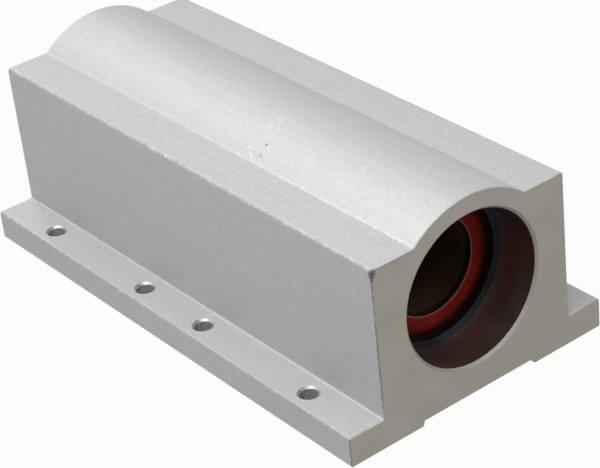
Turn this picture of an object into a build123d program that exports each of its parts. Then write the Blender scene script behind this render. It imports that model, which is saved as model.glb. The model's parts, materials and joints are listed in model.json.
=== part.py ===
"""Twin pillow block: a long flanged housing that carries two sleeve bearings for one shaft.

The origin is the centre of the mounting face. Z points up and the shaft lies along Y. The front
end, whose seal is seen in the photograph, faces -Y. All sizes are in millimetres.
"""
import math
import os

from build123d import *

# Shaft that the block is made for, and the running fit on it
shaft_diameter = 38.1
running_clearance = 0.025

# Housing profile, one shape along the whole length
body_width = 88.9
flange_width = 15.875
flange_thickness = 12.2
bore_height = 44.45
arch_wall = 7.935
arch_rise = 9.75
relief_width = 54.0
relief_depth = 2.1
relief_wall_angle = 75.0
flange_corner_radius = 1.0
flange_base_radius = 0.8
flange_root_radius = 0.9
shoulder_corner_radius = 1.5
arch_root_radius = 1.2
end_edge_break = 0.3
bore_mouth_chamfer = 1.0

# Bolt holes: a rectangle of four under each bearing
bolt_spacing_along = 63.5
bolt_hole_diameter = 7.14
bolt_rim_diameter = 8.8
bolt_rim_angle = 90.0

# Bearing sleeves, the space between and beyond them, and the lining bonded in their bores
bearing_length = 76.2
bearing_gap = 25.4
bearing_inset = 25.4
liner_wall = 0.8
liner_end_chamfer = 0.5
sleeve_wall = 10.14
sleeve_clearance = 0.15
sleeve_end_chamfer = 1.0

# Rubber rings that carry the sleeve in the housing and let it settle in line with the shaft
o_ring_height = 2.3
o_ring_width = 2.9
o_ring_flat_width = 1.5
o_ring_groove_slack = 0.5
o_ring_spacing = 46.0

# Seal at the outer end of each bearing: a flat face inside a raised rim
seal_thickness = 4.2
seal_rim_height = 1.1
seal_rim_width = 3.4
seal_fit = 0.05
seal_edge_clearance = 1.2
seal_lip_clearance = 0.1
seal_lip_depth = 0.3
seal_lip_land = 0.4

# Retaining rings and their grooves in the housing bore
ring_thickness = 1.98
ring_groove_depth = 1.83
ring_groove_slack = 0.1
ring_groove_fit = 0.05
ring_widest_section = 4.9
ring_end_section = 3.6
ring_gap = 9.0
ring_lug_radius = 3.6
ring_lug_reach = 8.8
ring_lug_hole_diameter = 2.8
outer_ring_gap_angle = 145.0
inner_ring_gap_angle = 90.0

# Radii across the bore, from the shaft outwards
liner_bore_radius = shaft_diameter / 2 + running_clearance
liner_outer_radius = liner_bore_radius + liner_wall
sleeve_radius = liner_outer_radius + sleeve_wall
bore_radius = sleeve_radius + sleeve_clearance
o_ring_inner_radius = bore_radius - o_ring_height
ring_groove_radius = bore_radius + ring_groove_depth
ring_outer_radius = ring_groove_radius - ring_groove_fit
arch_radius = bore_radius + arch_wall

# Places that follow from the sizes above
shoulder_height = bore_height + arch_radius - arch_rise
base_width = body_width + 2 * flange_width
bolt_spacing_across = body_width + flange_width
bearing_half_length = bearing_length / 2
bearing_offset = bearing_gap / 2 + bearing_half_length
housing_length = 2 * (bearing_offset + bearing_half_length + bearing_inset)
outer_ring_offset = bearing_half_length + seal_thickness + ring_thickness / 2
inner_ring_offset = -bearing_half_length - ring_thickness / 2
bore_axis = Axis((0, 0, bore_height), (0, 1, 0))


def across_bore(y):
    """Plane square to the bore at y, seen from the front: local x is X and local y is Z."""
    return Plane(origin=(0, y, bore_height), x_dir=(1, 0, 0), z_dir=(0, -1, 0))


def along_bore(y, outward):
    """Plane through the bore axis: local x runs outward from y and local y is the radius."""
    return Plane(origin=(0, y, bore_height), x_dir=(0, outward, 0), z_dir=(outward, 0, 0))


def finish(piece, label):
    """Name a finished piece and write it."""
    piece.part.label = label
    export_step(piece.part, f"parts/{label}.step")


def corners_at(height, half_width):
    """Choose the two corners of the housing profile at one height and half width."""

    def is_there(corner):
        level = math.isclose(corner.Y, height, abs_tol=0.01)
        return level and math.isclose(abs(corner.X), half_width, abs_tol=0.01)

    return is_there


def make_housing():
    """Extruded profile with the bore, ring grooves and bolt holes machined in it."""
    profile_plane = Plane(origin=(0, 0, 0), x_dir=(1, 0, 0), z_dir=(0, -1, 0))
    arch_root_half_width = math.sqrt(arch_radius**2 - (shoulder_height - bore_height) ** 2)
    relief_slant = relief_depth / math.tan(math.radians(relief_wall_angle))

    with BuildPart() as housing:
        with BuildSketch(profile_plane):
            Rectangle(base_width, flange_thickness, align=(Align.CENTER, Align.MIN))
            Rectangle(body_width, shoulder_height, align=(Align.CENTER, Align.MIN))
            with Locations((0, bore_height)):
                Circle(arch_radius)
            with BuildLine():
                Polyline(
                    (-relief_width / 2, 0),
                    (-relief_width / 2 + relief_slant, relief_depth),
                    (relief_width / 2 - relief_slant, relief_depth),
                    (relief_width / 2, 0),
                    close=True,
                )
            make_face(mode=Mode.SUBTRACT)
            rounded_corners = (
                (0, base_width / 2, flange_base_radius),
                (flange_thickness, base_width / 2, flange_corner_radius),
                (flange_thickness, body_width / 2, flange_root_radius),
                (shoulder_height, body_width / 2, shoulder_corner_radius),
                (shoulder_height, arch_root_half_width, arch_root_radius),
            )
            for height, half_width, radius in rounded_corners:
                fillet(vertices().filter_by(corners_at(height, half_width)), radius)
        extrude(amount=housing_length / 2, both=True)
        end_faces = faces().filter_by(Axis.Y)
        chamfer(end_faces.edges(), end_edge_break)

        with BuildSketch(across_bore(0)):
            Circle(bore_radius)
        extrude(amount=housing_length / 2, both=True, mode=Mode.SUBTRACT)
        bore_mouths = faces().filter_by(Axis.Y).edges().filter_by(GeomType.CIRCLE)
        chamfer(bore_mouths.filter_by(lambda edge: edge.is_closed), bore_mouth_chamfer)

        for outward in (-1, 1):
            for ring_offset in (inner_ring_offset, outer_ring_offset):
                with BuildSketch(across_bore(outward * (bearing_offset + ring_offset))):
                    Circle(ring_groove_radius)
                groove_half_width = ring_thickness / 2 + ring_groove_slack
                extrude(amount=groove_half_width, both=True, mode=Mode.SUBTRACT)

        with Locations((0, -bearing_offset, flange_thickness), (0, bearing_offset, flange_thickness)):
            with GridLocations(bolt_spacing_across, bolt_spacing_along, 2, 2):
                CounterSinkHole(
                    radius=bolt_hole_diameter / 2,
                    counter_sink_radius=bolt_rim_diameter / 2,
                    counter_sink_angle=bolt_rim_angle,
                )
    finish(housing, "housing")


def make_sleeve(label, centre, outward):
    """Turned sleeve with two grooves for the rubber rings."""
    with BuildPart() as sleeve:
        with BuildSketch(along_bore(centre, outward)):
            wall = sleeve_radius - liner_outer_radius
            with Locations((0, liner_outer_radius)):
                Rectangle(bearing_length, wall, align=(Align.CENTER, Align.MIN))
            chamfer(vertices().group_by(Axis.Y)[-1], sleeve_end_chamfer)
            with Locations(
                (-o_ring_spacing / 2, o_ring_inner_radius),
                (o_ring_spacing / 2, o_ring_inner_radius),
            ):
                Rectangle(
                    o_ring_width + o_ring_groove_slack,
                    o_ring_height,
                    align=(Align.CENTER, Align.MIN),
                    mode=Mode.SUBTRACT,
                )
        revolve(axis=bore_axis)
    finish(sleeve, label)


def make_liner(label, centre, outward):
    """Thin low-friction lining that the shaft slides in."""
    with BuildPart() as liner:
        with BuildSketch(along_bore(centre, outward)):
            with Locations((0, liner_bore_radius)):
                Rectangle(bearing_length, liner_wall, align=(Align.CENTER, Align.MIN))
            chamfer(vertices().group_by(Axis.Y)[0], liner_end_chamfer)
        revolve(axis=bore_axis)
    finish(liner, label)


def make_o_ring(label, centre, outward, offset):
    """Rubber ring: flat where it is pressed on its groove and the housing, bulged at its sides."""
    middle_radius = o_ring_inner_radius + o_ring_height / 2
    with BuildPart() as o_ring:
        with BuildSketch(along_bore(centre, outward)):
            with BuildLine():
                for side in (-1, 1):
                    ThreePointArc(
                        (offset + side * o_ring_flat_width / 2, o_ring_inner_radius),
                        (offset + side * o_ring_width / 2, middle_radius),
                        (offset + side * o_ring_flat_width / 2, bore_radius),
                    )
                for radius in (o_ring_inner_radius, bore_radius):
                    Line(
                        (offset - o_ring_flat_width / 2, radius),
                        (offset + o_ring_flat_width / 2, radius),
                    )
            make_face()
        revolve(axis=bore_axis)
    finish(o_ring, label)


def make_seal(label, centre, outward):
    """Ring with a rim that the retaining ring bears on and a lip round the shaft."""
    edge_radius = shaft_diameter / 2 + seal_edge_clearance
    lip_radius = shaft_diameter / 2 + seal_lip_clearance
    outer_radius = bore_radius - seal_fit
    rim_radius = outer_radius - seal_rim_width
    back = bearing_half_length
    rim_front = back + seal_thickness
    front = rim_front - seal_rim_height
    lip_front = front - seal_lip_depth
    lip_back = lip_front - seal_lip_land
    with BuildPart() as seal:
        with BuildSketch(along_bore(centre, outward)):
            with BuildLine():
                Polyline(
                    (back, outer_radius),
                    (rim_front, outer_radius),
                    (rim_front, rim_radius),
                    (front, rim_radius),
                    (front, edge_radius),
                    (lip_front, lip_radius),
                    (lip_back, lip_radius),
                    (back, edge_radius),
                    close=True,
                )
            make_face()
        revolve(axis=bore_axis)
    finish(seal, label)


def make_retaining_ring(label, centre, outward, offset, gap_angle):
    """Spring ring: widest opposite its gap, with a pierced lug at each end."""
    narrow_inner_radius = ring_outer_radius - ring_widest_section
    wide_inner_radius = ring_outer_radius - ring_end_section
    inner_radius = (narrow_inner_radius + wide_inner_radius) / 2
    eccentricity = (wide_inner_radius - narrow_inner_radius) / 2
    lug_distance = ring_outer_radius - ring_lug_reach + ring_lug_radius
    lug_angle = math.degrees(math.asin((ring_gap / 2 + ring_lug_radius) / lug_distance))

    with BuildPart() as ring:
        with BuildSketch(across_bore(centre + outward * offset)):
            Circle(ring_outer_radius)
            with PolarLocations(eccentricity, 1, gap_angle):
                Circle(inner_radius, mode=Mode.SUBTRACT)
            lug_angles = (gap_angle - lug_angle, gap_angle + lug_angle)
            for angle in lug_angles:
                with PolarLocations(lug_distance, 1, angle):
                    Circle(ring_lug_radius)
                    Rectangle(ring_lug_radius, 2 * ring_lug_radius, align=(Align.MIN, Align.CENTER))
            with PolarLocations(0, 1, gap_angle):
                Rectangle(
                    2 * ring_outer_radius,
                    ring_gap,
                    align=(Align.MIN, Align.CENTER),
                    mode=Mode.SUBTRACT,
                )
            for angle in lug_angles:
                with PolarLocations(lug_distance, 1, angle):
                    Circle(ring_lug_hole_diameter / 2, mode=Mode.SUBTRACT)
        extrude(amount=ring_thickness / 2, both=True)
    finish(ring, label)


def make_bearing(side, outward):
    """All the pieces of the bearing at one end of the block."""
    centre = outward * bearing_offset
    make_sleeve(f"{side}_bearing_sleeve", centre, outward)
    make_liner(f"{side}_bearing_liner", centre, outward)
    make_o_ring(f"{side}_outer_o_ring", centre, outward, o_ring_spacing / 2)
    make_o_ring(f"{side}_inner_o_ring", centre, outward, -o_ring_spacing / 2)
    make_seal(f"{side}_shaft_seal", centre, outward)
    make_retaining_ring(
        f"{side}_outer_retaining_ring", centre, outward, outer_ring_offset, outer_ring_gap_angle
    )
    make_retaining_ring(
        f"{side}_inner_retaining_ring", centre, outward, inner_ring_offset, inner_ring_gap_angle
    )


os.makedirs("parts", exist_ok=True)
make_housing()
make_bearing("front", -1)
make_bearing("rear", 1)
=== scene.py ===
import json
from math import pi, radians

import bpy
from mathutils import Euler, Matrix, Vector

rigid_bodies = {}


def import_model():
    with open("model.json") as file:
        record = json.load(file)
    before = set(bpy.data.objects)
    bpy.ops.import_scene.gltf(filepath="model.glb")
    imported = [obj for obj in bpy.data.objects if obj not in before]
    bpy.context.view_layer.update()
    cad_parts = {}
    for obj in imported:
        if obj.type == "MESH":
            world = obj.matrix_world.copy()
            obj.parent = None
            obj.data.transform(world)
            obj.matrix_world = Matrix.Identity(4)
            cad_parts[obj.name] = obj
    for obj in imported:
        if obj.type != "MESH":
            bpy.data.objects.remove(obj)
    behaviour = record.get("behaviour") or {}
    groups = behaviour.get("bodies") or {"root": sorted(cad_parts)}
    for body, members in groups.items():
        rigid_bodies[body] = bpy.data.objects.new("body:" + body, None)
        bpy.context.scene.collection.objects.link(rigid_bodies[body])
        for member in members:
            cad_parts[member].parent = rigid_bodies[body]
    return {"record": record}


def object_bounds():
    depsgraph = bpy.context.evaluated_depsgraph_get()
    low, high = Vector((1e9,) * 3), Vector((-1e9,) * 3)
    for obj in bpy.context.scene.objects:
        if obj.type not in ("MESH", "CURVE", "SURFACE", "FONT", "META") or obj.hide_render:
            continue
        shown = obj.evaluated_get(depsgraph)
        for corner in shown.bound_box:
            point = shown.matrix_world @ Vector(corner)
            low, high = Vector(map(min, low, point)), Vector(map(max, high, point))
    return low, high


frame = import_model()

cad_low, cad_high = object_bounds()
mounts = {mount["name"]: mount for mount in frame["record"]["mounts"]}
shaft_bore = mounts["front_shaft_bore"]
bolts = mounts["front_bolts"]

# Camera, from the block's corners, bore and bolt holes in the photograph. Its turn is in degrees.
PHOTO_SIZE = (600, 468)
FOCAL_PIXELS = 2114.10
CENTRE_PIXEL = (300.55, 238.59)
CAMERA_PLACE = (-0.404587, -0.586121, 0.440851)
CAMERA_TURN = (59.1061, 5.6120, -38.6180)
CAMERA_RANGE = (0.05, 50.0)
SENSOR_WIDTH = 36.0

# Lamps: each level is how bright a white mirror would show it
COOL = (0.99, 1.0, 1.02)
WARM = (1.02, 1.0, 0.90)
NEUTRAL = (1.0, 1.0, 0.99)
LAMPS = {
    "lamp_key": dict(place=(-0.329, -0.120, 0.646), size=(0.6, 0.5), level=4.6, colour=COOL),
    "lamp_side": dict(place=(-0.586, -0.103, 0.575), size=(0.6, 0.4), level=1.2, colour=WARM),
    "lamp_back": dict(place=(-0.184, 1.045, 1.101), size=(1.3, 0.7), level=2.85, colour=COOL),
    "lamp_front": dict(place=(0.127, -1.033, 0.977), size=(1.2, 0.7), level=1.4, colour=NEUTRAL),
    "lamp_bore": dict(place=(0.435, -0.753, 1.006), size=(0.7, 0.5), level=1.7, colour=NEUTRAL),
}
LAMP_AIM = (0.0, 0.0, 0.04)

# Surroundings and floor: what lights the block, and how white they are where they are seen or mirrored
WORLD_LEVEL = 0.03
WORLD_SHOWN = 1.0
FLOOR_COLOUR = (0.35, 0.34, 0.325)
FLOOR_ROUGHNESS = 0.85
FLOOR_SHOWN = 0.96
FLOOR_HALF = 6.0
FLOOR_DROP = 0.0001

# Places on the housing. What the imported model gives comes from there.
MM_PER_METRE = 1000
END = cad_high[1]
FLANGE_SIDE = cad_high[0]
BORE_HEIGHT = shaft_bore["pos_m"][2]
BEARING_OFFSET = -bolts["pos_m"][1]
HOLE_ACROSS = bolts["dims"]["spacing_x_mm"] / 2 / MM_PER_METRE
HOLE_ALONG = bolts["dims"]["spacing_y_mm"] / 2 / MM_PER_METRE
FLANGE_TOP = 0.0122
BODY_SIDE = 0.04445
ARCH_ROOT = (-0.02545, 0.0728)

# Zones of the housing. In each pair, a mask is 0 at the first value and 1 at the second.
BORE_ZONE = (0.0325, 0.0324)
HOLE_ZONE = (0.0046, 0.0044)
END_ZONE = (END - 0.0008, END - 0.0003)
MOUTH_ZONE = (END - 0.0011, END - 0.0010)
CORNER_ACROSS = (0.040, 0.041)
FOOT_ACROSS = (0.052, 0.051)
FOOT_HEIGHT = (0.020, 0.019)
ABOVE_FLANGE = (FLANGE_TOP, FLANGE_TOP + 0.0006)
BURR_ZONE = (0.00048, 0.0003)
ROOT_ZONE = (0.0009, 0.0005)
ROOT_ALONG = (0.03, -0.09)

# Zones of the seal, by distance from the shaft line, and of its lip's back, from the block's middle
# Painted shade: across this band the seal's red darkens to nearly black, towards the retaining ring
# that shades it
SEAL_PAINTED_SHADE = (0.0228, 0.0264)
SEAL_RUBBED = (0.0225, 0.021)
LIP_ZONE = (0.0198, 0.0195)
LIP_INSIDE = (0.01925, 0.01918)
LIP_BACK = (0.0914, 0.0913)

# Cosines, as the same kind of pairs: between a face and an axis, or an edge and its face
FACING_END = (0.9, 0.97)
UPRIGHT = (0.95, 0.9)
ROUNDED = (0.985, 0.93)
CUT_END = (0.2, 0.5)
BENT = (0.995, 0.93)

# Tones, as linear red, green and blue. A pair is the two tones that a surface varies between.
SKIN_TONES = ((0.427, 0.430, 0.430), (0.449, 0.452, 0.452))
MILLED_TONES = ((0.388, 0.370, 0.318), (0.412, 0.383, 0.337))
# Honed bore metal, darkened and tinted reddish brown by painted shade and a painted reflection of the
# red seal
HONED_TONES_AND_PAINTED_REFLECTION = ((0.26, 0.182, 0.158), (0.31, 0.218, 0.193))
DRILLED_TONE = (0.40, 0.40, 0.395)
HOUSING_EDGE = (0.58, 0.58, 0.57)
SLEEVE_TONES = ((0.045, 0.046, 0.048), (0.065, 0.067, 0.070))
SLEEVE_EDGE = (0.18, 0.18, 0.18)
LINER_TONES = ((0.055, 0.034, 0.02), (0.085, 0.052, 0.03))
SEAL_TONES = ((0.18, 0.0075, 0.004), (0.24, 0.0125, 0.0075))
# Paler tones of the seal's lip and of its edges near the lip: partly rubbed wear, partly a painted
# highlight
SEAL_EDGE_WEAR_AND_HIGHLIGHT = (0.28, 0.11, 0.08)
LIP_WEAR_AND_HIGHLIGHT = (0.25, 0.115, 0.09)
# Painted shade: near black for the inside of the seal's lip and its back
HOLLOW_PAINTED_SHADE = (0.02, 0.012, 0.009)
RUBBER_TONES = ((0.018, 0.018, 0.018), (0.045, 0.045, 0.047))
STEEL_TONES = ((0.013, 0.023, 0.032), (0.032, 0.051, 0.066))
STEEL_EDGE = (0.16, 0.17, 0.18)

# Metal share, roughness, and painted shade on parts of the housing and on the lining's cut ends
SKIN_METALLIC = 0.4
BORE_METALLIC = 0.93
DRILLED_ROUGHNESS = 0.36
RIM_PAINTED_SHADE = 0.78
CORNER_PAINTED_SHADE = 0.74
FOOT_SHARE = 0.3
BORE_RELIEF = 0.05
CUT_PAINTED_SHADE = 0.2
CUT_ROUGHNESS = 0.8

# Middle of a noise's values, over which a surface varies, and a wider stretch of them
NOISE_MIDDLE = (0.3, 0.7)
NOISE_WIDE = (0.25, 0.75)

# Wear, painted shade on the corners and the pale line at the arch's root on the housing: how much of
# each shows where a noise runs from start to end
EDGE_PATCHES = dict(start=0.42, end=0.6, low=0.1, high=0.9)
CORNER_PATCHES = dict(start=0.46, end=0.62, low=1.0, high=0.45)
BURR_PATCHES = dict(start=0.38, end=0.56, low=0.12, high=0.72)
ROOT_PATCHES = dict(start=0.4, end=0.6, low=0.05, high=0.4)
SCUFF_SPECKS = dict(start=0.56, end=0.66, high=0.75)
SCUFF_DENTS = dict(start=0.42, end=0.34, high=0.3)
FLANGE_BURR = 0.9

# Single marks with place, reach and tone, and scuffed patches with place and reach
FLECK = (0.60, 0.60, 0.61)
NICK = (0.24, 0.24, 0.23)
BURR = (0.13, 0.12, 0.11)
MARKS = [
    ((-0.0186, -0.0258, 0.0777), 0.0007, (0.16, 0.16, 0.17)),
    ((-0.0067, -0.0161, 0.0820), 0.0006, FLECK),
    ((-0.0058, -0.0258, 0.0821), 0.0006, FLECK),
    ((-0.0117, -0.0247, 0.0807), 0.0005, FLECK),
    ((-0.0061, -0.0207, 0.0821), 0.0007, (0.44, 0.47, 0.51)),
    ((-0.0251, -0.0160, 0.0731), 0.0006, FLECK),
    ((-0.0243, -0.0235, 0.0738), 0.0006, FLECK),
    ((-0.0228, -0.0268, 0.0752), 0.0008, NICK),
    ((-0.0435, 0.0173, 0.0726), 0.0008, NICK),
    ((-0.0439, 0.0038, 0.0726), 0.0007, FLECK),
    ((-0.0438, -0.0031, 0.0726), 0.0007, NICK),
    ((-0.0438, -0.1142, 0.0712), 0.0018, BURR),
    ((-0.0440, -0.1142, 0.0700), 0.0014, BURR),
    ((-0.0442, -0.1142, 0.0688), 0.0008, BURR),
]
SPOT_FADE = 1.5
SCUFFS = [
    ((-0.0085, -0.0210, 0.0813), 0.0065),
    ((-0.0235, -0.0200, 0.0745), 0.0045),
]
SCUFF_CORE = 0.4


def aim_at(place, aim):
    """Turn that points an object's own -Z from place to aim."""
    return (Vector(aim) - Vector(place)).to_track_quat("-Z", "Y")


def make_camera():
    """Camera at the photograph's viewpoint, with its frame."""
    width, height = PHOTO_SIZE
    data = bpy.data.cameras.new("camera")
    data.sensor_fit = "HORIZONTAL"
    data.sensor_width = SENSOR_WIDTH
    data.lens = FOCAL_PIXELS / width * SENSOR_WIDTH
    data.shift_x = (width / 2 - CENTRE_PIXEL[0]) / width
    data.shift_y = (CENTRE_PIXEL[1] - height / 2) / width
    data.clip_start, data.clip_end = CAMERA_RANGE
    camera = bpy.data.objects.new("camera", data)
    bpy.context.scene.collection.objects.link(camera)
    turn = Euler([radians(angle) for angle in CAMERA_TURN])
    camera.matrix_world = Matrix.Translation(CAMERA_PLACE) @ turn.to_matrix().to_4x4()
    bpy.context.scene.camera = camera


def make_lamps():
    """Soft area lamps, all turned to the same point of the block."""
    for name, lamp in LAMPS.items():
        data = bpy.data.lights.new(name, "AREA")
        data.shape = "RECTANGLE"
        data.size, data.size_y = lamp["size"]
        data.energy = lamp["level"] * pi * data.size * data.size_y
        data.color = lamp["colour"]
        lamp_object = bpy.data.objects.new(name, data)
        bpy.context.scene.collection.objects.link(lamp_object)
        lamp_object.location = lamp["place"]
        lamp_object.rotation_mode = "QUATERNION"
        lamp_object.rotation_quaternion = aim_at(lamp["place"], LAMP_AIM)


def seen_or_mirrored(tree):
    """1 for rays that show the surroundings, straight or in metal and glass, and 0 for light."""
    path = tree.nodes.new("ShaderNodeLightPath")
    shown = path.outputs["Is Camera Ray"]
    for ray in ("Is Glossy Ray", "Is Transmission Ray"):
        total = tree.nodes.new("ShaderNodeMath")
        total.operation = "ADD"
        total.use_clamp = True
        tree.links.new(shown, total.inputs[0])
        tree.links.new(path.outputs[ray], total.inputs[1])
        shown = total.outputs[0]
    return shown


def make_world():
    """Plain pale surroundings: one level for light, white where they are seen or mirrored."""
    world = bpy.data.worlds.new("studio")
    bpy.context.scene.world = world
    world.use_nodes = True
    tree = world.node_tree
    tree.nodes.clear()
    strength = tree.nodes.new("ShaderNodeMapRange")
    background = tree.nodes.new("ShaderNodeBackground")
    output = tree.nodes.new("ShaderNodeOutputWorld")
    strength.inputs["To Min"].default_value = WORLD_LEVEL
    strength.inputs["To Max"].default_value = WORLD_SHOWN
    background.inputs["Color"].default_value = (1.0, 1.0, 1.0, 1.0)
    tree.links.new(seen_or_mirrored(tree), strength.inputs["Value"])
    tree.links.new(strength.outputs["Result"], background.inputs["Strength"])
    tree.links.new(background.outputs["Background"], output.inputs["Surface"])


class Finish:
    """One node material. Its methods add nodes to it and give back the last one's output."""

    SINGLE_RESULTS = ("LENGTH", "DOT_PRODUCT", "DISTANCE")
    EDGE_SAMPLES = 6
    # A mix node has sockets of its own for each kind of value
    MIX_NUMBERS = (2, 3)
    MIX_COLOURS = (6, 7)
    MIXED_NUMBER = 0
    MIXED_COLOUR = 2

    def __init__(self, name, metallic=0.0, specular=0.5):
        self.material = bpy.data.materials.new(name)
        self.material.use_nodes = True
        self.tree = self.material.node_tree
        self.shader = self.tree.nodes["Principled BSDF"]
        self.shader.inputs["Metallic"].default_value = metallic
        self.shader.inputs["Specular IOR Level"].default_value = specular
        self.place = self.node("TexCoord").outputs["Object"]
        self.normal = self.node("NewGeometry").outputs["True Normal"]

    def feed(self, socket, value):
        """Links an output, or sets a plain value. A plain colour is three numbers."""
        if isinstance(value, bpy.types.NodeSocket):
            self.tree.links.new(value, socket)
        elif socket.type == "RGBA":
            socket.default_value = (*value, 1.0)
        else:
            socket.default_value = value

    def node(self, kind, *values, **settings):
        """The new node itself, with its settings, and the values in its first inputs."""
        node = self.tree.nodes.new("ShaderNode" + kind)
        for name, setting in settings.items():
            setattr(node, name, setting)
        for socket, value in zip(node.inputs, values):
            self.feed(socket, value)
        return node

    def maths(self, operation, *values):
        return self.node("Math", *values, operation=operation).outputs[0]

    def unsigned(self, value):
        return self.maths("ABSOLUTE", value)

    def times(self, result, *factors):
        """Product of numbers."""
        for factor in factors:
            result = self.maths("MULTIPLY", result, factor)
        return result

    def largest(self, result, *others):
        for other in others:
            result = self.maths("MAXIMUM", result, other)
        return result

    def vector(self, operation, *values):
        node = self.node("VectorMath", *values, operation=operation)
        return node.outputs["Value" if operation in self.SINGLE_RESULTS else "Vector"]

    def distance(self, place):
        return self.vector("DISTANCE", self.place, place)

    def split(self, vector):
        return self.node("SeparateXYZ", vector).outputs

    def join(self, x, y, z):
        return self.node("CombineXYZ", x, y, z).outputs[0]

    def ramp(self, value, start, end, low=0.0, high=1.0):
        """Value from start to end becomes low to high, with soft ends."""
        values = (value, start, end, low, high)
        return self.node("MapRange", *values, interpolation_type="SMOOTHSTEP").outputs["Result"]

    def noise(self, scale, detail=2.0, stretch=None):
        node = self.node("TexNoise")
        place = self.place if stretch is None else self.vector("MULTIPLY", self.place, stretch)
        self.feed(node.inputs["Vector"], place)
        self.feed(node.inputs["Scale"], scale)
        self.feed(node.inputs["Detail"], detail)
        return node.outputs[0]

    def vary(self, noise, low, high, span=NOISE_MIDDLE):
        """Number from low to high that follows a noise."""
        return self.ramp(noise, *span, low, high)

    def mix(self, factor, one, other, blend="MIX"):
        """Mix of two colours."""
        node = self.node("Mix", factor, data_type="RGBA", blend_type=blend)
        for place, colour in zip(self.MIX_COLOURS, (one, other)):
            self.feed(node.inputs[place], colour)
        return node.outputs[self.MIXED_COLOUR]

    def blend(self, factor, one, other):
        """Mix of two numbers."""
        node = self.node("Mix", factor)
        for place, value in zip(self.MIX_NUMBERS, (one, other)):
            self.feed(node.inputs[place], value)
        return node.outputs[self.MIXED_NUMBER]

    def shade(self, colour, amount):
        """Colour times a number."""
        return self.mix(1.0, colour, self.join(amount, amount, amount), "MULTIPLY")

    def spot(self, place, reach, ragged):
        """1 at a place and 0 beyond its reach, with a ragged outline."""
        away = self.maths("MULTIPLY_ADD", ragged, reach, self.distance(place))
        return self.ramp(away, SPOT_FADE * reach, reach)

    def edge(self, radius):
        """0 on open faces, 1 on edges."""
        rounded = self.node("Bevel", radius, samples=self.EDGE_SAMPLES).outputs[0]
        return self.ramp(self.vector("DOT_PRODUCT", rounded, self.normal), *BENT)

    def wear(self, colour, tone, radius, share, patches=1.0):
        """Colour with its edges worn towards a tone, by a share, all along or in patches."""
        return self.mix(self.times(self.edge(radius), patches, share), colour, tone)

    def paint(self, colour, roughness):
        self.feed(self.shader.inputs["Base Color"], colour)
        self.feed(self.shader.inputs["Roughness"], roughness)

    def bump(self, height, distance, strength):
        node = self.node("Bump")
        self.feed(node.inputs["Strength"], strength)
        self.feed(node.inputs["Distance"], distance)
        self.feed(node.inputs["Height"], height)
        self.feed(self.shader.inputs["Normal"], node.outputs["Normal"])


def axis_distance(finish):
    """Distance from the shaft line."""
    x, _, z = finish.split(finish.place)
    return finish.vector("LENGTH", finish.join(x, 0.0, finish.maths("SUBTRACT", z, BORE_HEIGHT)))


def hole_distance(finish):
    """Distance from the nearest bolt hole's line."""
    x, y, _ = finish.split(finish.place)
    across = finish.maths("SUBTRACT", finish.unsigned(x), HOLE_ACROSS)
    from_bearing = finish.maths("SUBTRACT", finish.unsigned(y), BEARING_OFFSET)
    along = finish.maths("SUBTRACT", finish.unsigned(from_bearing), HOLE_ALONG)
    return finish.vector("LENGTH", finish.join(across, along, 0.0))


def housing_zones(finish):
    """1 on the machined ends, the rim of the mouth, the bore and the bolt holes, and 0 elsewhere."""
    _, normal_y, normal_z = finish.split(finish.normal)
    _, place_y, _ = finish.split(finish.place)
    along = finish.unsigned(normal_y)
    from_middle = finish.unsigned(place_y)
    near_axis = finish.ramp(axis_distance(finish), *BORE_ZONE)
    face = finish.times(finish.ramp(along, *FACING_END), finish.ramp(from_middle, *END_ZONE))
    mouth = finish.times(near_axis, finish.ramp(from_middle, *MOUTH_ZONE))
    end = finish.largest(face, mouth)
    rim = finish.times(mouth, finish.ramp(along, *reversed(FACING_END)))
    bore = finish.times(near_axis, finish.maths("SUBTRACT", 1.0, end))
    upright = finish.ramp(finish.unsigned(normal_z), *UPRIGHT)
    hole = finish.times(finish.ramp(hole_distance(finish), *HOLE_ZONE), upright)
    return end, rim, bore, hole


def skin_colour(finish, grain, mottle):
    """Grey skin with a fine grain, faint lines along the block and a faint speckle."""
    lines = finish.noise(scale=700.0, stretch=(1.0, 0.02, 1.0))
    speckle = finish.noise(scale=1000.0, detail=1.0)
    colour = finish.mix(mottle, *SKIN_TONES)
    colour = finish.shade(colour, finish.vary(grain, 0.84, 1.16, NOISE_WIDE))
    colour = finish.shade(colour, finish.vary(lines, 0.985, 1.015))
    return finish.shade(colour, finish.vary(speckle, 0.97, 1.03))


def milled_colour(finish, milling, rim):
    """Warmer grey of the machined ends, unevenly stained, with painted shade on the rim of the mouth
    to tone down its highlight.
    """
    stain = finish.ramp(finish.noise(scale=55.0), start=0.35, end=0.65)
    colour = finish.mix(stain, *MILLED_TONES)
    colour = finish.shade(colour, finish.vary(milling, 0.84, 1.16, NOISE_WIDE))
    # Painted shade on the rim of the mouth, toning down its highlight
    return finish.shade(colour, finish.blend(rim, 1.0, RIM_PAINTED_SHADE))


def wear_edges(finish, colour, nibbled):
    """Sharp edges rubbed a little paler."""
    patches = finish.ramp(nibbled, **EDGE_PATCHES)
    return finish.wear(colour, HOUSING_EDGE, radius=0.0006, share=0.1, patches=patches)


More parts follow.
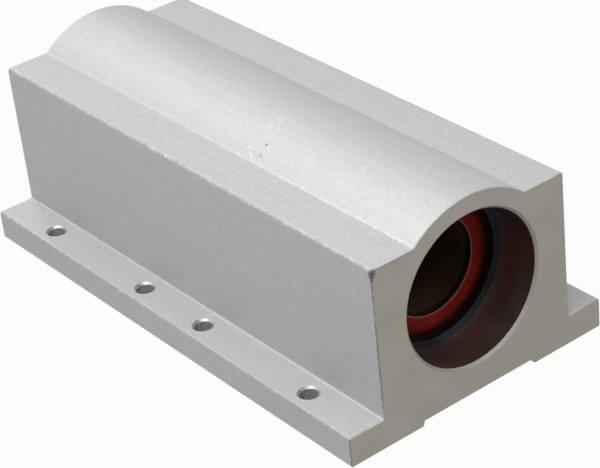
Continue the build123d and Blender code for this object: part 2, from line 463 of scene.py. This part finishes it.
def shade_corners_painted(finish, colour, nibbled):
    """Painted shade on the long rounded corners, in patches, toning down their highlight, and less of
    it at the foot of the body.
    """
    place_x, _, place_z = finish.split(finish.place)
    from_middle = finish.unsigned(place_x)
    squareness = finish.largest(*[finish.unsigned(share) for share in finish.split(finish.normal)])
    corner = finish.times(finish.ramp(squareness, *ROUNDED), finish.ramp(from_middle, *CORNER_ACROSS))
    foot = finish.times(finish.ramp(from_middle, *FOOT_ACROSS), finish.ramp(place_z, *FOOT_HEIGHT))
    patches = finish.ramp(nibbled, **CORNER_PATCHES)
    painted_shade = finish.times(corner, finish.blend(foot, 1.0, FOOT_SHARE), patches)
    # Painted shade: the corners' colour is darkened to tone down their highlight
    return finish.shade(colour, finish.blend(painted_shade, 1.0, CORNER_PAINTED_SHADE))


def burr_corners(finish, colour, nibbled):
    """Dark, ragged line down the left front corner of the body and of the flange."""
    place_x, place_y, place_z = finish.split(finish.place)
    from_front = finish.maths("ADD", place_y, END)
    above_flange = finish.ramp(place_z, *ABOVE_FLANGE)
    patches = finish.ramp(nibbled, **BURR_PATCHES)
    for side, share in ((BODY_SIDE, above_flange), (FLANGE_SIDE, FLANGE_BURR)):
        from_corner = finish.join(finish.maths("ADD", place_x, side), from_front, 0.0)
        line = finish.ramp(finish.vector("LENGTH", from_corner), *BURR_ZONE)
        colour = finish.mix(finish.times(line, patches, share), colour, BURR)
    return colour


def pale_root_line(finish, colour, nibbled):
    """Paler line along the left root of the arch, stronger towards the front."""
    root_x, root_z = ARCH_ROOT
    place_x, place_y, place_z = finish.split(finish.place)
    across = finish.maths("SUBTRACT", place_x, root_x)
    above = finish.maths("SUBTRACT", place_z, root_z)
    line = finish.ramp(finish.vector("LENGTH", finish.join(across, 0.0, above)), *ROOT_ZONE)
    patches = finish.ramp(nibbled, **ROOT_PATCHES)
    towards_front = finish.ramp(place_y, *ROOT_ALONG, low=0.1)
    return finish.mix(finish.times(line, patches, towards_front), colour, FLECK)


def mark_surface(finish, colour, nibbled):
    """Patches of fine scratches, and single flecks, nicks and burrs."""
    scratches = finish.noise(scale=1300.0, detail=1.0, stretch=(1.0, 0.6, 1.0))
    specks = finish.ramp(scratches, **SCUFF_SPECKS)
    dents = finish.ramp(scratches, **SCUFF_DENTS)
    for place, reach in SCUFFS:
        near = finish.ramp(finish.distance(place), reach, SCUFF_CORE * reach)
        colour = finish.mix(finish.times(near, specks), colour, FLECK)
        colour = finish.mix(finish.times(near, dents), colour, NICK)
    for place, reach, tone in MARKS:
        colour = finish.mix(finish.spot(place, reach, nibbled), colour, tone)
    return colour


def housing_finish():
    """Matte extruded skin, fine-machined ends, a smooth bore and drilled holes, with wear."""
    finish = Finish("housing_aluminium")
    grain = finish.noise(scale=2300.0)
    milling = finish.noise(scale=2100.0)
    mottle = finish.noise(scale=90.0, detail=3.0)
    drill_marks = finish.noise(scale=1100.0)
    end, rim, bore, hole = housing_zones(finish)
    colour = finish.mix(end, skin_colour(finish, grain, mottle), milled_colour(finish, milling, rim))
    # Bore: honed metal with painted shade and a painted reflection of the red seal
    colour = finish.mix(bore, colour, finish.mix(mottle, *HONED_TONES_AND_PAINTED_REFLECTION))
    colour = finish.mix(hole, colour, finish.shade(DRILLED_TONE, finish.vary(drill_marks, 0.75, 1.25)))
    nibbled = finish.noise(scale=420.0, detail=3.0)
    # Wear, painted shade on the corners, burrs, the pale root line and marks
    for add_wear_and_painted_light in (wear_edges, shade_corners_painted, burr_corners, pale_root_line, mark_surface):
        colour = add_wear_and_painted_light(finish, colour, nibbled)
    roughness = finish.vary(grain, 0.56, 0.62, NOISE_WIDE)
    roughness = finish.blend(end, roughness, finish.vary(milling, 0.52, 0.58))
    roughness = finish.blend(bore, roughness, finish.vary(mottle, 0.30, 0.36))
    roughness = finish.blend(hole, roughness, DRILLED_ROUGHNESS)
    finish.paint(colour, roughness)
    finish.feed(finish.shader.inputs["Metallic"], finish.blend(bore, SKIN_METALLIC, BORE_METALLIC))
    relief = finish.blend(end, grain, milling)
    relief = finish.blend(bore, relief, finish.times(milling, BORE_RELIEF))
    finish.bump(relief, distance=0.00005, strength=0.6)
    return finish.material


def sleeve_finish():
    """Hard-anodised grey aluminium with fine turning marks."""
    finish = Finish("sleeve_aluminium", metallic=0.85)
    lines = finish.noise(scale=5200.0, detail=1.0, stretch=(0.02, 1.0, 0.02))
    mottle = finish.noise(scale=140.0, detail=3.0)
    colour = finish.mix(mottle, *SLEEVE_TONES)
    colour = finish.shade(colour, finish.vary(lines, 0.9, 1.1))
    colour = finish.wear(colour, SLEEVE_EDGE, radius=0.0004, share=0.1)
    finish.paint(colour, roughness=finish.vary(lines, 0.34, 0.44))
    finish.bump(lines, distance=0.00002, strength=0.5)
    return finish.material


def liner_finish():
    """Dark low-friction lining, rubbed smoother in patches, with painted shade and more roughness on
    its cut ends.
    """
    finish = Finish("liner_polymer", specular=0.1)
    fibre = finish.noise(scale=3000.0, stretch=(1.0, 0.25, 1.0))
    rubbed = finish.noise(scale=120.0, detail=3.0)
    _, normal_y, _ = finish.split(finish.normal)
    cut = finish.ramp(finish.unsigned(normal_y), *CUT_END)
    colour = finish.mix(rubbed, *LINER_TONES)
    colour = finish.shade(colour, finish.vary(fibre, 0.8, 1.2, NOISE_WIDE))
    # Painted shade on the lining's cut ends
    colour = finish.shade(colour, finish.blend(cut, 1.0, CUT_PAINTED_SHADE))
    finish.paint(colour, roughness=finish.blend(cut, finish.vary(rubbed, 0.34, 0.5), CUT_ROUGHNESS))
    finish.bump(fibre, distance=0.00003, strength=0.5)
    return finish.material


def seal_finish():
    """Dull red seal: a paler lip round the shaft, rubbed and with a painted highlight, and painted
    shade making it nearly black towards its outer edge and inside the lip.
    """
    finish = Finish("seal_rubber", specular=0.12)
    grain = finish.noise(scale=1900.0)
    cloud = finish.noise(scale=150.0, detail=3.0)
    from_axis = axis_distance(finish)
    _, place_y, _ = finish.split(finish.place)
    behind_lip = finish.ramp(finish.unsigned(place_y), *LIP_BACK)
    # Painted shade on the inside of the lip and on the seal's back
    hollow_shade = finish.largest(finish.ramp(from_axis, *LIP_INSIDE), behind_lip)
    colour = finish.mix(finish.vary(cloud, 0.0, 1.0), *SEAL_TONES)
    # Painted shade: nearly black towards the outer edge, where the retaining ring shades the seal
    colour = finish.shade(colour, finish.ramp(from_axis, *SEAL_PAINTED_SHADE, low=1.0, high=0.08))
    # Paler lip round the shaft: rubbed wear and a painted highlight
    colour = finish.mix(finish.ramp(from_axis, *LIP_ZONE), colour, LIP_WEAR_AND_HIGHLIGHT)
    colour = finish.mix(hollow_shade, colour, HOLLOW_PAINTED_SHADE)
    colour = finish.shade(colour, finish.vary(grain, 0.9, 1.1, NOISE_WIDE))
    # Paler edges near the lip: rubbed wear and a painted highlight
    rubbed = finish.ramp(from_axis, *SEAL_RUBBED)
    colour = finish.wear(colour, SEAL_EDGE_WEAR_AND_HIGHLIGHT, radius=0.0004, share=0.4, patches=rubbed)
    finish.paint(colour, roughness=finish.vary(cloud, 0.46, 0.56))
    finish.bump(grain, distance=0.00004, strength=0.4)
    return finish.material


def ring_rubber_finish():
    """Black rubber with a faint bloom."""
    finish = Finish("ring_rubber")
    bloom = finish.noise(scale=260.0, detail=3.0)
    grain = finish.noise(scale=2600.0, detail=1.0)
    colour = finish.mix(finish.ramp(bloom, start=0.4, end=0.75), *RUBBER_TONES)
    finish.paint(colour, roughness=finish.vary(bloom, 0.5, 0.68))
    finish.bump(grain, distance=0.00002, strength=0.4)
    return finish.material


def spring_steel_finish():
    """Blue-grey oxidised spring steel, oiled, with paler metal along worn edges."""
    finish = Finish("spring_steel", metallic=0.9)
    rolled = finish.noise(scale=2400.0, stretch=(1.0, 1.0, 0.12))
    oil = finish.noise(scale=170.0, detail=3.0)
    colour = finish.mix(oil, *STEEL_TONES)
    colour = finish.shade(colour, finish.vary(rolled, 0.9, 1.1))
    worn = finish.ramp(oil, start=0.4, end=0.6)
    colour = finish.wear(colour, STEEL_EDGE, radius=0.00035, share=0.2, patches=worn)
    finish.paint(colour, roughness=finish.vary(oil, 0.27, 0.36))
    finish.bump(rolled, distance=0.00002, strength=0.5)
    return finish.material


def dress_nodes():
    """Each CAD node gets the finish of its material slot."""
    finishes = {
        "housing_aluminium": housing_finish(),
        "sleeve_aluminium": sleeve_finish(),
        "liner_polymer": liner_finish(),
        "seal_rubber": seal_finish(),
        "ring_rubber": ring_rubber_finish(),
        "spring_steel": spring_steel_finish(),
    }
    for part in frame["record"]["subparts"]:
        for slot in bpy.data.objects[part["node"]].material_slots:
            slot.material = finishes[part["material_slot"]]


def floor_finish():
    """Matte grey paper for the lamps, nearly white where it is seen or mirrored."""
    finish = Finish("floor_paper", specular=0.1)
    tooth = finish.noise(scale=900.0)
    finish.paint(finish.shade(FLOOR_COLOUR, finish.vary(tooth, 0.99, 1.01)), FLOOR_ROUGHNESS)
    shown = finish.times(seen_or_mirrored(finish.tree), FLOOR_SHOWN)
    white = finish.node("Emission").outputs[0]
    mixed = finish.node("MixShader", shown, finish.shader.outputs[0], white).outputs[0]
    finish.feed(finish.tree.nodes["Material Output"].inputs["Surface"], mixed)
    return finish.material


def make_floor():
    """Wide square floor just under the mounting face."""
    signs = ((-1, -1), (1, -1), (1, 1), (-1, 1))
    corners = [(x * FLOOR_HALF, y * FLOOR_HALF, -FLOOR_DROP) for x, y in signs]
    mesh = bpy.data.meshes.new("floor")
    mesh.from_pydata(corners, [], [(0, 1, 2, 3)])
    mesh.materials.append(floor_finish())
    floor = bpy.data.objects.new("floor", mesh)
    bpy.context.scene.collection.objects.link(floor)


make_camera()
make_world()
make_lamps()
make_floor()
dress_nodes()

bpy.context.scene.view_settings.view_transform = "Standard"
